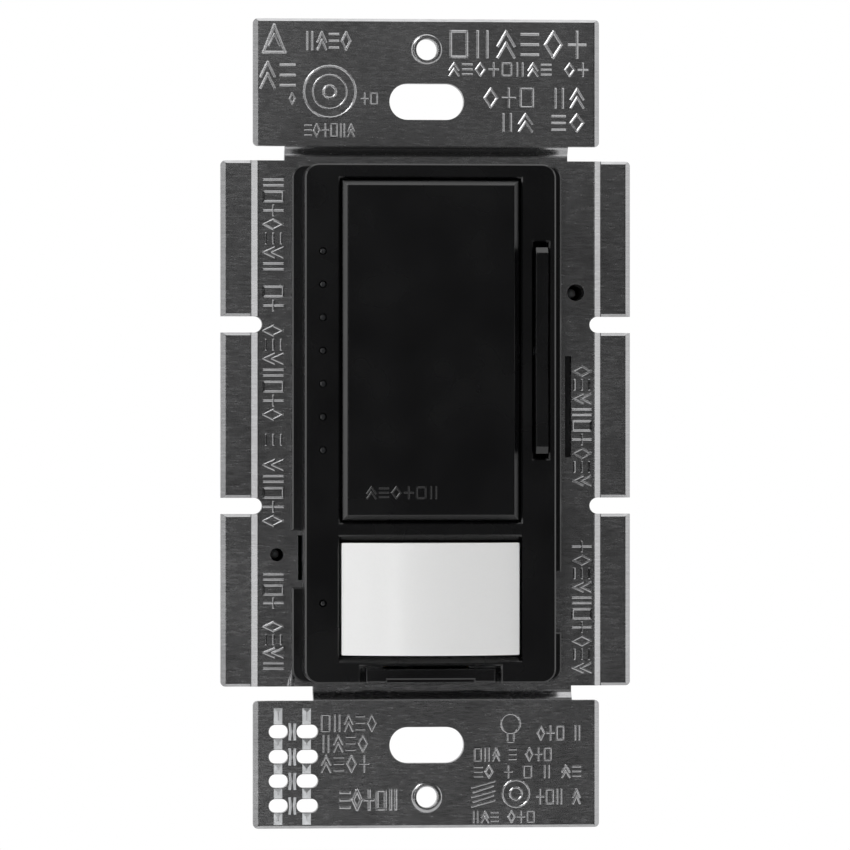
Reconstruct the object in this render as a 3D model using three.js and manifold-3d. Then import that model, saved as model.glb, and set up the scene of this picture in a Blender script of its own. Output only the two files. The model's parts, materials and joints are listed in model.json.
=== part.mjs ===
// Wall dimmer with occupancy sensor, millimetres.
// X points right, Z up, and the front faces -Y. The wall plane is y = 0, and the origin is the
// middle of the box behind the ears.
import * as THREE from 'three';
import { mergeVertices } from 'three/addons/utils/BufferGeometryUtils.js';
import Module from 'manifold-3d';

const wasm = await Module();
wasm.setup();

// Yoke: one bent sheet. The ears lie on the wall, and the middle plate is set back behind them.
const SHEET = 1.5;
const SET_BACK = 0.9;
const YOKE_HALF_W = 26.65;
const YOKE_HALF_H = 52.4;
const EAR_HALF_W = 22.5;
const EAR_Z = 35.9;
const PLATE_HALF_H = 34.05;
const NECK_HALF_W = 18.4;
const NECK_NOTCH_X = -14.7;
const NECK_LOW_Z = 34.55;
const NECK_STEPS = 8;
const WING_GAPS_Z = [12.82, -10.68];
const WING_GAP = 2.1;
const WING_GAP_X = 21.3;
const BOX_SCREW_Z = 41.67;
const BOX_SLOT = { length: 9.7, height: 4.7 };
const PLATE_SCREW_Z = 48.42;
const PLATE_SCREW_R = 1.4;
const BODY_SCREWS = [{ x: 19.5, z: 17.0, r: 1.1 }, { x: -19.4, z: -17.0, r: 0.86 }];
const VENT_ROWS_Z = [-39.85, -43.1, -46.25, -49.45];
const VENT_SLOTS_X = [[-20.5, -18.0], [-16.9, -14.1]];
const VENT_SLOT_R = 0.9;
const SIDE_SLOTS = [
  { x0: 18.1, x1: 18.9, z0: -4.4, z1: 8.75 },
  { x0: -16.65, x1: -15.9, z0: -20.3, z1: -14.5 },
];
const WINDOW = { halfW: 15.2, top: 23.6, bottom: -30.6, notchHalfW: 5.6, notchBottom: -32.5 };
const RIVET = { x: 2.6, z: 28.1, r: 1.2, headR: 2.2 };

// Front plastics
const GAP = 0.3;
const FACE_Y = -7.5;
const FACE = { halfW: 16.2, halfH: 33.4, r: 1.8, wall: 1.0, skin: 1.4 };
const FLANGE = { halfW: 17.5, halfH: 33.45, r: 1.7, thick: 1.1 };
const PLATE_FRONT_Y = -SHEET + SET_BACK;
const BEZEL_BACK_Y = PLATE_FRONT_Y - GAP;
const PADDLE = { halfW: 11.45, top: 31.3, bottom: -12.5, frontY: -8.0, backY: -6.4, bevel: 0.7 };
const HINGE = { y: -4.1, z: 28.5, rodR: 0.7, boreR: 1.0, hubR: 1.5 };
const ROCKER = { x: 14.25, z: 9.4, halfW: 0.8, halfH: 13.3, slotHalfW: 1.0, slotHalfH: 13.95 };
const PIVOT = { y: -4.6, pinR: 0.6, boreR: 0.9, hubR: 1.4 };
const ROCKER_ARM = 9.0;
const LENS = { halfW: 11.5, top: -15.35, bottom: -29.8, edgeY: -7.4, bulge: 2.6, wall: 1.1 };
const LENS_HOLE = { halfW: 11.8, top: -15.05, bottom: -30.1 };
const LED_X = -13.9;
const LED_PITCH = 4.26;
const LED_COUNT = 7;
const LED_MIDDLE_Z = 9.36;
const SENSOR_LED_Z = -23.1;
const LED_HOLE_R = 0.5;
const TAB = { halfW: 8.4, top: -31.5, bottom: -33.3, notchHalfW: 9.09, notchTop: -31.2 };

// Inside
const BOARD = 1.6;
const CONTROL_Y = 1.4;
const POWER_Y = 9.0;
const PLUNGER_FRONT_Y = -3.4;
const PADDLE_SWITCH_Z = 8.5;
const SENSOR_Z = -22.8;
const CARRIER = { halfW: 14.9, top: 31.8, bottom: -30.4, frontY: -2.2 };

// Rear housing and terminals
const HOUSING = { halfW: 19.3, halfH: 33.8, frontY: 1.2, backY: 30.0, wall: 1.4, back: 1.6, r: 2.2 };
const BOSS_R = 2.2;
const TERMINAL_Y = 17.0;
const TERMINALS = [
  { side: 1, z: 26.0 },
  { side: 1, z: 1.0 },
  { side: -1, z: 18.0 },
  { side: -1, z: -3.0 },
];
const GROUND_TERMINAL = 4;
const POCKET = { half: 4.6, floorX: 15.7, wall: 1.4 };
// Each terminal's parts, as distances out from the floor of its pocket.
const STACK = { plate: [0.3, 1.1], clamp: [1.5, 2.6], shaft: [-1.7, 3.4], head: [2.9, 4.9], slot: [4.1, 6.0] };
const SHAFT_R = 1.7;
const HEAD_R = 3.6;
const SHAFT_HOLE_R = 2.1;

// ---- shapes and solids -------------------------------------------------------------------

function toSolid(geometry) {
  const bare = geometry.clone();
  bare.deleteAttribute('normal');
  bare.deleteAttribute('uv');
  const merged = mergeVertices(bare, 1e-4);
  const vertProperties = new Float32Array(merged.attributes.position.array);
  const triVerts = new Uint32Array(merged.index.array);
  return new wasm.Manifold(new wasm.Mesh({ numProp: 3, vertProperties, triVerts }));
}

function toGeometry(solid) {
  const mesh = solid.getMesh();
  const geometry = new THREE.BufferGeometry();
  geometry.setAttribute('position', new THREE.BufferAttribute(new Float32Array(mesh.vertProperties), 3));
  geometry.setIndex(new THREE.BufferAttribute(new Uint32Array(mesh.triVerts), 1));
  geometry.computeVertexNormals();
  return geometry;
}

function block(x0, x1, y0, y1, z0, z1) {
  const geometry = new THREE.BoxGeometry(x1 - x0, y1 - y0, z1 - z0);
  geometry.translate((x0 + x1) / 2, (y0 + y1) / 2, (z0 + z1) / 2);
  return toSolid(geometry);
}

function rodY(x, z, y0, y1, r, sides = 24) {
  const geometry = new THREE.CylinderGeometry(r, r, y1 - y0, sides);
  geometry.translate(x, (y0 + y1) / 2, z);
  return toSolid(geometry);
}

function rodX(y, z, x0, x1, r, sides = 24) {
  const geometry = new THREE.CylinderGeometry(r, r, x1 - x0, sides);
  geometry.rotateZ(Math.PI / 2);
  geometry.translate((x0 + x1) / 2, y, z);
  return toSolid(geometry);
}

function rodZ(x, y, z0, z1, r, sides = 32) {
  const geometry = new THREE.CylinderGeometry(r, r, z1 - z0, sides);
  geometry.rotateX(Math.PI / 2);
  geometry.translate(x, y, (z0 + z1) / 2);
  return toSolid(geometry);
}

// A flat outline in X and Z, given thickness from y0 to y1.
function sheet(shape, y0, y1, bevel = 0) {
  const geometry = new THREE.ExtrudeGeometry(shape, {
    depth: y1 - y0 - 2 * bevel,
    curveSegments: 5,
    bevelEnabled: bevel > 0,
    bevelThickness: bevel,
    bevelSize: bevel,
    bevelOffset: -bevel,
    bevelSegments: 1,
  });
  geometry.rotateX(Math.PI / 2);
  geometry.translate(0, y1 - bevel, 0);
  return toSolid(geometry);
}

// A profile in Y and Z, run along X from x0 to x1.
function rail(profile, x0, x1) {
  const shape = new THREE.Shape(profile.map(([y, z]) => new THREE.Vector2(y, z)));
  const geometry = new THREE.ExtrudeGeometry(shape, { depth: x1 - x0, bevelEnabled: false });
  geometry.applyMatrix4(new THREE.Matrix4().makeBasis(
    new THREE.Vector3(0, 1, 0),
    new THREE.Vector3(0, 0, 1),
    new THREE.Vector3(1, 0, 0),
  ));
  geometry.translate(x0, 0, 0);
  return toSolid(geometry);
}

function rectangle(x0, x1, z0, z1) {
  const shape = new THREE.Shape();
  shape.moveTo(x0, z0);
  shape.lineTo(x1, z0);
  shape.lineTo(x1, z1);
  shape.lineTo(x0, z1);
  return shape;
}

function roundRect(x0, x1, z0, z1, r) {
  const shape = new THREE.Shape();
  shape.moveTo(x0 + r, z0);
  shape.lineTo(x1 - r, z0);
  shape.absarc(x1 - r, z0 + r, r, -Math.PI / 2, 0);
  shape.lineTo(x1, z1 - r);
  shape.absarc(x1 - r, z1 - r, r, 0, Math.PI / 2);
  shape.lineTo(x0 + r, z1);
  shape.absarc(x0 + r, z1 - r, r, Math.PI / 2, Math.PI);
  shape.lineTo(x0, z0 + r);
  shape.absarc(x0 + r, z0 + r, r, Math.PI, 1.5 * Math.PI);
  return shape;
}

function joined(first, ...rest) {
  return rest.reduce((sum, piece) => sum.add(piece), first);
}

function cut(body, ...tools) {
  return tools.reduce((left, tool) => left.subtract(tool), body);
}

// ---- materials ---------------------------------------------------------------------------

function finish(color, roughness, metalness = 0) {
  return new THREE.MeshStandardMaterial({ color, roughness, metalness });
}

const steel = finish(0x77787a, 0.42, 1);
const blackPlastic = finish(0x141416, 0.3);
const housingPlastic = finish(0x1c1c1e, 0.55);
const lensPlastic = finish(0xf1f1ef, 0.35);
const clearPlastic = finish(0xdfe6e2, 0.15);
const boardGreen = finish(0x1d5a38, 0.5);
const chipBlack = finish(0x202022, 0.6);
const tinned = finish(0xb9bcbe, 0.35, 1);
const brass = finish(0xb08d4a, 0.35, 1);
const copper = finish(0xa8602f, 0.35, 1);
const ferrite = finish(0x38383a, 0.7);
const padGrey = finish(0xb8bcc0, 0.8);
const greenSteel = finish(0x2f7d3f, 0.4, 1);
const filmYellow = finish(0xb5952f, 0.5);
const canBlue = finish(0x24304e, 0.4);
const glassTan = finish(0xcfc7a6, 0.2);

const dimmer = new THREE.Group();

function add(name, solid, material) {
  const mesh = new THREE.Mesh(toGeometry(solid), material);
  mesh.name = name;
  dimmer.add(mesh);
}

// ---- yoke --------------------------------------------------------------------------------

function boxScrewSlot(z) {
  const half = BOX_SLOT.length / 2;
  const r = BOX_SLOT.height / 2;
  return sheet(roundRect(-half, half, z - r, z + r, r - 0.01), -SHEET - 1, 1);
}

function ear(side) {
  const [z0, z1] = side > 0 ? [EAR_Z, YOKE_HALF_H] : [-YOKE_HALF_H, -EAR_Z];
  return cut(
    sheet(roundRect(-EAR_HALF_W, EAR_HALF_W, z0, z1, 0.6), -SHEET, 0),
    boxScrewSlot(side * BOX_SCREW_Z),
    rodY(0, side * PLATE_SCREW_Z, -SHEET - 1, 1, PLATE_SCREW_R),
  );
}

// The joggle between the plate and an ear: a smooth S in section, one sheet thick.
function neck(side, x0, x1) {
  const root = [SET_BACK, side * (PLATE_HALF_H - 0.2)];
  const curve = Array.from({ length: NECK_STEPS + 1 }, (_, i) => {
    const rise = (1 + Math.cos((i / NECK_STEPS) * Math.PI)) / 2;
    const z = NECK_LOW_Z + (i / NECK_STEPS) * (EAR_Z - NECK_LOW_Z);
    return [SET_BACK * rise, side * z];
  });
  const back = [root, ...curve, [0, side * (EAR_Z + 0.2)]];
  const front = back.map(([y, z]) => [y - SHEET, z]).reverse();
  return rail([...back, ...front], x0, x1);
}

function ventSlots() {
  return VENT_ROWS_Z.flatMap((z) => VENT_SLOTS_X.map(([x0, x1]) => (
    sheet(roundRect(x0, x1, z - VENT_SLOT_R, z + VENT_SLOT_R, VENT_SLOT_R - 0.01), -SHEET - 1, 1)
  )));
}

function wingGap(side, z) {
  const half = WING_GAP / 2;
  const inner = side * (WING_GAP_X + half);
  const outer = side * (YOKE_HALF_W + 1);
  return joined(
    block(Math.min(inner, outer), Math.max(inner, outer), -3, 3, z - half, z + half),
    rodY(inner, z, -3, 3, half),
  );
}

function mountingYoke() {
  const plate = sheet(
    roundRect(-YOKE_HALF_W, YOKE_HALF_W, -PLATE_HALF_H, PLATE_HALF_H, 0.6),
    PLATE_FRONT_Y,
    SET_BACK,
  );
  const yoke = joined(
    plate,
    ear(1),
    ear(-1),
    neck(1, -NECK_HALF_W, NECK_HALF_W),
    neck(-1, NECK_NOTCH_X, NECK_HALF_W + 0.5),
  );
  const gaps = WING_GAPS_Z.flatMap((z) => [wingGap(1, z), wingGap(-1, z)]);
  return cut(
    yoke,
    ...gaps,
    ...ventSlots(),
    ...BODY_SCREWS.map((screw) => rodY(screw.x, screw.z, -3, 3, screw.r, 16)),
    block(-WINDOW.halfW, WINDOW.halfW, -3, 3, WINDOW.bottom, WINDOW.top),
    block(-WINDOW.notchHalfW, WINDOW.notchHalfW, -3, 3, WINDOW.notchBottom, WINDOW.bottom + 1),
    ...SIDE_SLOTS.map(({ x0, x1, z0, z1 }) => block(x0, x1, -3, 3, z0, z1)),
    rodY(RIVET.x, RIVET.z, -3, 3, RIVET.r + GAP, 16),
  );
}

add('mounting_yoke', mountingYoke(), steel);

// ---- front plastics ----------------------------------------------------------------------

function frontBezel() {
  const { halfW, halfH, r, wall, skin } = FACE;
  const body = joined(
    sheet(roundRect(-halfW, halfW, -halfH, halfH, r), FACE_Y, BEZEL_BACK_Y),
    sheet(
      roundRect(-FLANGE.halfW, FLANGE.halfW, -FLANGE.halfH, FLANGE.halfH, FLANGE.r),
      BEZEL_BACK_Y - FLANGE.thick,
      BEZEL_BACK_Y,
    ),
  );
  const inner = roundRect(-halfW + wall, halfW - wall, -halfH + wall, halfH - wall, r - 1);
  const ledHoles = ledHeights().map((z) => rodY(LED_X, z, FACE_Y - 1, FACE_Y + 2, LED_HOLE_R, 12));
  return cut(
    body,
    sheet(inner, FACE_Y + skin, 1),
    block(-PADDLE.halfW - 0.25, PADDLE.halfW + 0.25, -9, -5, PADDLE.bottom - 0.25, PADDLE.top + 0.25),
    block(
      ROCKER.x - ROCKER.slotHalfW,
      ROCKER.x + ROCKER.slotHalfW,
      -9,
      -5,
      ROCKER.z - ROCKER.slotHalfH,
      ROCKER.z + ROCKER.slotHalfH,
    ),
    block(-LENS_HOLE.halfW, LENS_HOLE.halfW, -9, -5, LENS_HOLE.bottom, LENS_HOLE.top),
    block(-TAB.notchHalfW, TAB.notchHalfW, -9, -1.4, -FLANGE.halfH - 1, TAB.notchTop),
    ...ledHoles,
    block(-FLANGE.halfW - 1, -halfW, -3, 0, -21.2, -13.8),
    block(halfW, FLANGE.halfW + 1, -3, 0, -27.1, -19.3),
  );
}

function ledHeights() {
  const middle = (LED_COUNT - 1) / 2;
  const column = Array.from({ length: LED_COUNT }, (_, i) => LED_MIDDLE_Z + (i - middle) * LED_PITCH);
  return [...column, SENSOR_LED_Z];
}

// A tray whose back carries two hinge lugs and the post that works the switch.
function tapPaddle() {
  const { halfW, top, bottom, frontY, backY, bevel } = PADDLE;
  const lug = (x0, x1) => joined(
    rodX(HINGE.y, HINGE.z, x0, x1, HINGE.hubR),
    block(x0, x1, backY - 0.2, HINGE.y, HINGE.z - HINGE.hubR, HINGE.z + HINGE.hubR),
  );
  const plate = sheet(rectangle(-halfW, halfW, bottom, top), frontY, backY, bevel);
  const post = rodY(0, PADDLE_SWITCH_Z, backY - 0.2, PLUNGER_FRONT_Y - GAP, 1.3, 16);
  return cut(
    joined(plate, lug(-9, -7.2), lug(7.2, 9), post),
    rodX(HINGE.y, HINGE.z, -10, 10, HINGE.boreR),
  );
}

// A seesaw blade with a shallow V front, a hub in the middle and a foot over each switch.
function dimmingRocker() {
  const { x, z, halfW, halfH } = ROCKER;
  const x0 = x - halfW;
  const x1 = x + halfW;
  const blade = rail([
    [-5.2, z - halfH + 0.3],
    [-8.6, z - halfH],
    [-9.1, z - halfH + 0.9],
    [-8.5, z],
    [-9.1, z + halfH - 0.9],
    [-8.6, z + halfH],
    [-5.2, z + halfH - 0.3],
  ], x0, x1);
  const feet = [-1, 1].map((end) => {
    const middle = z + end * ROCKER_ARM;
    return block(x0, x1, -5.4, PLUNGER_FRONT_Y - GAP, middle - 0.8, middle + 0.8);
  });
  return cut(
    joined(blade, rodX(PIVOT.y, z, x0, x1, PIVOT.hubR), ...feet),
    rodX(PIVOT.y, z, x0 - 1, x1 + 1, PIVOT.boreR, 16),
  );
}

// The finger tab with the stem that reaches back to the service switch.
function serviceTab() {
  return joined(
    block(-TAB.halfW, TAB.halfW, FACE_Y, -5.9, TAB.bottom, TAB.top),
    block(-5, 5, -6.1, -1.8, TAB.bottom + 0.2, TAB.top),
    block(-5, 5, -2.4, 9.7, -32.1, -30.9),
  );
}

function arcOutline(halfW, sideY, backY, bulge) {
  const radius = (halfW * halfW + bulge * bulge) / (2 * bulge);
  const spread = Math.asin(halfW / radius);
  const shape = new THREE.Shape();
  shape.moveTo(halfW, backY);
  shape.lineTo(halfW, sideY);
  shape.absarc(0, sideY - bulge + radius, radius, -Math.PI / 2 + spread, -Math.PI / 2 - spread, true);
  shape.lineTo(-halfW, backY);
  return shape;
}

function pillar(shape, z0, z1, curveSegments) {
  const geometry = new THREE.ExtrudeGeometry(shape, { depth: z1 - z0, bevelEnabled: false, curveSegments });
  geometry.translate(0, 0, z0);
  return toSolid(geometry);
}

// A cover curved about a vertical axis, open at the back.
function sensorLens() {
  const { halfW, top, bottom, edgeY, bulge, wall } = LENS;
  return cut(
    pillar(arcOutline(halfW, edgeY, -5.0, bulge), bottom, top, 20),
    pillar(arcOutline(halfW - wall, edgeY + wall, -4.0, bulge - 0.1), bottom + wall, top - wall, 20),
  );
}

function lightPip(z) {
  return joined(
    rodY(LED_X, z, FACE_Y + 0.2, -5.5, 0.35, 10),
    rodY(LED_X, z, -4.8, 0, 0.55, 10),
  );
}

function lightPipe(heights) {
  const low = Math.min(...heights) - 1;
  const high = Math.max(...heights) + 1;
  return joined(block(LED_X - 1, LED_X + 1, -5.7, -4.6, low, high), ...heights.map(lightPip));
}

add('front_bezel', frontBezel(), blackPlastic);
add('tap_paddle', tapPaddle(), blackPlastic);
add('dimming_rocker', dimmingRocker(), blackPlastic);
add('service_tab', serviceTab(), blackPlastic);
add('sensor_lens', sensorLens(), lensPlastic);
add('light_pipe', lightPipe(ledHeights().slice(0, LED_COUNT)), clearPlastic);
add('sensor_light_pipe', lightPipe([SENSOR_LED_Z]), clearPlastic);

// ---- switch carrier and pivots -----------------------------------------------------------

function switchCarrier() {
  const { halfW, top, bottom, frontY } = CARRIER;
  const backY = BEZEL_BACK_Y;
  const plate = cut(
    sheet(roundRect(-halfW, halfW, bottom, top, 0.6), frontY, backY),
    block(-16, -13, -3, 0, -5, 23.8),
    block(-16, -13, -3, 0, SENSOR_LED_Z - 1.3, SENSOR_LED_Z + 1.3),
    block(-3.5, 3.5, -3, 0, PADDLE_SWITCH_Z - 3.5, PADDLE_SWITCH_Z + 3.5),
    ...[-1, 1].map((end) => {
      const z = ROCKER.z + end * ROCKER_ARM;
      return block(11.7, 16, -3, 0, z - 2.5, z + 2.5);
    }),
    rodY(0, SENSOR_Z, -3, 0, 5.3),
    rodY(RIVET.x, RIVET.z, -3, 0, RIVET.headR + GAP, 16),
  );
  const hingeLug = (x0, x1) => block(x0, x1, HINGE.y - 1.5, frontY + 0.3, HINGE.z - 1.5, HINGE.z + 1.5);
  return cut(
    joined(
      plate,
      hingeLug(-11, -9.3),
      hingeLug(9.3, 11),
      block(11.75, 13.1, -5.8, frontY + 0.3, ROCKER.z - 1.5, ROCKER.z + 1.5),
    ),
    rodX(HINGE.y, HINGE.z, -12, 12, HINGE.boreR),
    rodX(PIVOT.y, ROCKER.z, 11, 14, PIVOT.boreR, 16),
  );
}

add('switch_carrier', switchCarrier(), housingPlastic);
add('paddle_hinge_rod', rodX(HINGE.y, HINGE.z, -11, 11, HINGE.rodR, 16), tinned);
add('rocker_pivot_pin', rodX(PIVOT.y, ROCKER.z, 11.75, 15, PIVOT.pinR, 16), tinned);

// ---- control board -----------------------------------------------------------------------

function tactSwitch(x0, x1, halfH, z, plungerX, boreR) {
  return cut(
    block(x0, x1, -2.1, CONTROL_Y - GAP, z - halfH, z + halfH),
    rodY(plungerX, z, -3, -0.5, boreR, 16),
  );
}

function plunger(x, z, r) {
  return rodY(x, z, PLUNGER_FRONT_Y, -1.2, r, 16);
}

const RAISE_Z = ROCKER.z + ROCKER_ARM;
const LOWER_Z = ROCKER.z - ROCKER_ARM;
const SIDE_PLUNGER_X = 13.8;
add('control_board', block(-14.6, 14.6, CONTROL_Y, CONTROL_Y + BOARD, -30.2, 23.2), boardGreen);
ledHeights().forEach((z, i) => {
  const name = i < LED_COUNT ? `status_led_${i + 1}` : 'sensor_led';
  add(name, block(LED_X - 0.7, LED_X + 0.7, GAP, CONTROL_Y - GAP, z - 0.5, z + 0.5), glassTan);
});
add('paddle_switch', tactSwitch(-3.1, 3.1, 3.1, PADDLE_SWITCH_Z, 0, 1.9), chipBlack);
add('paddle_plunger', plunger(0, PADDLE_SWITCH_Z, 1.5), chipBlack);
add('raise_switch', tactSwitch(12, 14.95, 2.2, RAISE_Z, SIDE_PLUNGER_X, 0.9), chipBlack);
add('raise_plunger', plunger(SIDE_PLUNGER_X, RAISE_Z, 0.6), chipBlack);
add('lower_switch', tactSwitch(12, 14.95, 2.2, LOWER_Z, SIDE_PLUNGER_X, 0.9), chipBlack);
add('lower_plunger', plunger(SIDE_PLUNGER_X, LOWER_Z, 0.6), chipBlack);
add('motion_sensor', joined(
  rodY(0, SENSOR_Z, -3.1, CONTROL_Y - GAP, 4.6),
  rodY(0, SENSOR_Z, 0.5, CONTROL_Y - GAP, 5.0),
), tinned);
add('motion_sensor_window', block(-2, 2, -3.8, -3.4, SENSOR_Z - 1.5, SENSOR_Z + 1.5), chipBlack);
add('microcontroller', block(-3.5, 3.5, 3.3, 4.5, 4, 11), chipBlack);
add('board_header', block(-6, 6, 3.3, 8.7, -12, -9.5), chipBlack);

// ---- power board -------------------------------------------------------------------------

function ring(x, y, z0, z1, innerR, outerR) {
  return cut(rodZ(x, y, z0, z1, outerR), rodZ(x, y, z0 - 1, z1 + 1, innerR));
}

function chokeCore(x, y) {
  return joined(rodZ(x, y, 10, 26, 2.6), rodZ(x, y, 10, 11, 6), rodZ(x, y, 25, 26, 6));
}

function powerTransistor() {
  return cut(
    block(-5.5, 5.5, 1.9, 5.1, 24.2, 32),
    rodY(RIVET.x, RIVET.z, 1, 6, RIVET.r + GAP, 16),
  );
}

function insulatingPad() {
  return cut(
    block(-6.2, 6.2, 1.2, 1.6, 23.9, 32.2),
    rodY(RIVET.x, RIVET.z, 1, 6, RIVET.r + GAP, 16),
  );
}

function clampRivet() {
  return joined(
    rodY(RIVET.x, RIVET.z, PLATE_FRONT_Y - 0.8, 6.2, RIVET.r, 16),
    rodY(RIVET.x, RIVET.z, PLATE_FRONT_Y - 0.8, PLATE_FRONT_Y - GAP, RIVET.headR, 16),
    rodY(RIVET.x, RIVET.z, 5.4, 6.2, RIVET.headR, 16),
  );
}

const CHOKE = { x: -7, y: 19 };
add('power_board', block(-16.8, 16.8, POWER_Y, POWER_Y + BOARD, -28.5, 31.5), boardGreen);
add('power_transistor', powerTransistor(), chipBlack);
add('insulating_pad', insulatingPad(), padGrey);
add('clamp_rivet', clampRivet(), tinned);
add('choke_core', chokeCore(CHOKE.x, CHOKE.y), ferrite);
add('choke_winding', ring(CHOKE.x, CHOKE.y, 11.4, 24.6, 2.9, 5.6), copper);
add('film_capacitor', sheet(roundRect(1.5, 13, 14, 26, 0.8), 10.9, 20), filmYellow);
add('electrolytic_capacitor', rodY(6.5, -2.5, 10.9, 26, 5, 32), canBlue);
add('fuse', rodX(13.6, -12, -12, 2, 2.4, 20), glassTan);

// ---- service switch ----------------------------------------------------------------------

function fixedContact(x0, x1) {
  return joined(block(x0, x1, 11.1, 12.1, -31.8, -27.5), block(x0, x1, 11.1, 13.6, -28.5, -27.5));
}

add('service_contact_bridge', block(-8.5, 8.5, 10, 10.8, -32, -30.2), brass);
add('service_contact_line', fixedContact(-8.2, -5.2), brass);
add('service_contact_load', fixedContact(5.2, 8.2), brass);

// ---- rear housing and terminals ----------------------------------------------------------

function along(side, near, far) {
  return side > 0 ? [near, far] : [-far, -near];
}

function sideBlock(side, [near, far], z, half, halfZ = half) {
  const [x0, x1] = along(side, near, far);
  return block(x0, x1, TERMINAL_Y - half, TERMINAL_Y + half, z - halfZ, z + halfZ);
}

function sideRod(side, [near, far], z, r) {
  const [x0, x1] = along(side, near, far);
  return rodX(TERMINAL_Y, z, x0, x1, r);
}

function fromFloor([near, far]) {
  return [POCKET.floorX + near, POCKET.floorX + far];
}

// An open-fronted box with a pocket in its side for each terminal and a lug column for each body screw.
function rearHousing() {
  const { halfW, halfH, frontY, backY, wall, back, r } = HOUSING;
  const outer = sheet(roundRect(-halfW, halfW, -halfH, halfH, r), frontY, backY);
  const cavity = sheet(
    roundRect(-halfW + wall, halfW - wall, -halfH + wall, halfH - wall, r - 0.8),
    frontY - 1,
    backY - back,
  );
  const bosses = BODY_SCREWS.map((screw) => rodY(screw.x, screw.z, frontY, backY, BOSS_R, 28));
  const pocketWalls = TERMINALS.map(({ side, z }) => (
    sideBlock(side, [POCKET.floorX - POCKET.wall, halfW], z, POCKET.half + POCKET.wall)
  ));
  return cut(
    joined(outer.subtract(cavity), ...bosses, ...pocketWalls),
    ...BODY_SCREWS.map((screw) => rodY(screw.x, screw.z, 0, 32, 1.0, 16)),
    ...TERMINALS.map(({ side, z }) => sideBlock(side, [POCKET.floorX, halfW + 1], z, POCKET.half)),
    ...TERMINALS.map(({ side, z }) => sideRod(side, [POCKET.floorX - 3, halfW], z, SHAFT_HOLE_R)),
  );
}

function terminalPlate({ side, z }) {
  return cut(sideBlock(side, fromFloor(STACK.plate), z, 4.2), sideRod(side, fromFloor([0, 2]), z, 2.05));
}

function clampPlate({ side, z }) {
  return cut(sideBlock(side, fromFloor(STACK.clamp), z, 4.0), sideRod(side, fromFloor([1, 3]), z, 2.05));
}

function terminalScrew({ side, z }) {
  const body = joined(
    sideRod(side, fromFloor(STACK.shaft), z, SHAFT_R),
    sideRod(side, fromFloor(STACK.head), z, HEAD_R),
  );
  return cut(body, sideBlock(side, fromFloor(STACK.slot), z, 5, 0.45));
}

function bodyScrew({ x, z }) {
  return joined(rodY(x, z, 0.2, 31, 0.6, 16), rodY(x, z, HOUSING.backY + GAP, 31.5, 1.6, 20));
}

add('rear_housing', rearHousing(), housingPlastic);
TERMINALS.forEach((terminal, i) => {
  const isGround = i + 1 === GROUND_TERMINAL;
  add(`terminal_plate_${i + 1}`, terminalPlate(terminal), brass);
  add(`clamp_plate_${i + 1}`, clampPlate(terminal), tinned);
  add(`terminal_screw_${i + 1}`, terminalScrew(terminal), isGround ? greenSteel : brass);
});
BODY_SCREWS.forEach((screw, i) => add(`body_screw_${i + 1}`, bodyScrew(screw), tinned));

export default dimmer;
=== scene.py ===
"""Wall dimmer with occupancy sensor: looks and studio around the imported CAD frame. Metres."""

import json
import math

import bmesh
import bpy
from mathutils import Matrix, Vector


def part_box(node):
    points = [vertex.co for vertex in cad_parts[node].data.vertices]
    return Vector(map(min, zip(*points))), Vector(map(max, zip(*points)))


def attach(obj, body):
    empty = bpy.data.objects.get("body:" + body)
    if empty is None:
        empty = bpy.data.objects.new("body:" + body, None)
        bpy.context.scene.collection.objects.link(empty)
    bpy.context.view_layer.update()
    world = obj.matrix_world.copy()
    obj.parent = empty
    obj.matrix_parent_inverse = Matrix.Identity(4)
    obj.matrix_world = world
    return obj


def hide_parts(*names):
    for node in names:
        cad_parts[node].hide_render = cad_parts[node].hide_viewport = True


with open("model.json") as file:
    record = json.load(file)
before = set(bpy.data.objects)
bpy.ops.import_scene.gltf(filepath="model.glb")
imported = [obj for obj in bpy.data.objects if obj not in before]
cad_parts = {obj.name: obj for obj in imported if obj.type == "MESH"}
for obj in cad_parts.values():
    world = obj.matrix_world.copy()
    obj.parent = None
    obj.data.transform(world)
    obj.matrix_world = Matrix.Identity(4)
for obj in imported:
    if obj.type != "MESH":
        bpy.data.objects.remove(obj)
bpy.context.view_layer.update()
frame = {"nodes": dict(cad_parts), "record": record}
NODES = frame["nodes"]
BODIES = frame["record"]["behaviour"]["bodies"]
SLOTS = {part["node"]: part["material_slot"] for part in frame["record"]["subparts"]}
BODY_OF = {node: body for body, nodes in BODIES.items() for node in nodes}
MM = 0.001
SMALL_HOLE_EDGE = 0.262


# ---- mesh helpers ------------------------------------------------------------------------

def new_object(name, bm):
    mesh = bpy.data.meshes.new(name)
    bm.to_mesh(mesh)
    bm.free()
    obj = bpy.data.objects.new(name, mesh)
    bpy.context.scene.collection.objects.link(obj)
    return obj


def copy_of(node, name):
    """A welded copy of a CAD node's mesh, its flat faces made whole again unless they have holes."""
    bm = bmesh.new()
    bm.from_mesh(NODES[node].data)
    bmesh.ops.remove_doubles(bm, verts=bm.verts, dist=0.002 * MM)
    bmesh.ops.dissolve_limit(bm, angle_limit=math.radians(0.6), verts=bm.verts, edges=bm.edges)
    for face in bm.faces:
        face.smooth = False
    return new_object(name, bm)


def evaluated(obj):
    """Applies an object's modifiers to its mesh."""
    depsgraph = bpy.context.evaluated_depsgraph_get()
    mesh = bpy.data.meshes.new_from_object(obj.evaluated_get(depsgraph))
    obj.modifiers.clear()
    obj.data = mesh
    return obj


def cut(obj, tools):
    """Cuts each tool from the object and removes the tool."""
    for tool in tools:
        modifier = obj.modifiers.new("cut", "BOOLEAN")
        modifier.operation = "DIFFERENCE"
        modifier.solver = "EXACT"
        modifier.object = tool
    evaluated(obj)
    for tool in tools:
        bpy.data.objects.remove(tool)
    return obj


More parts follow.
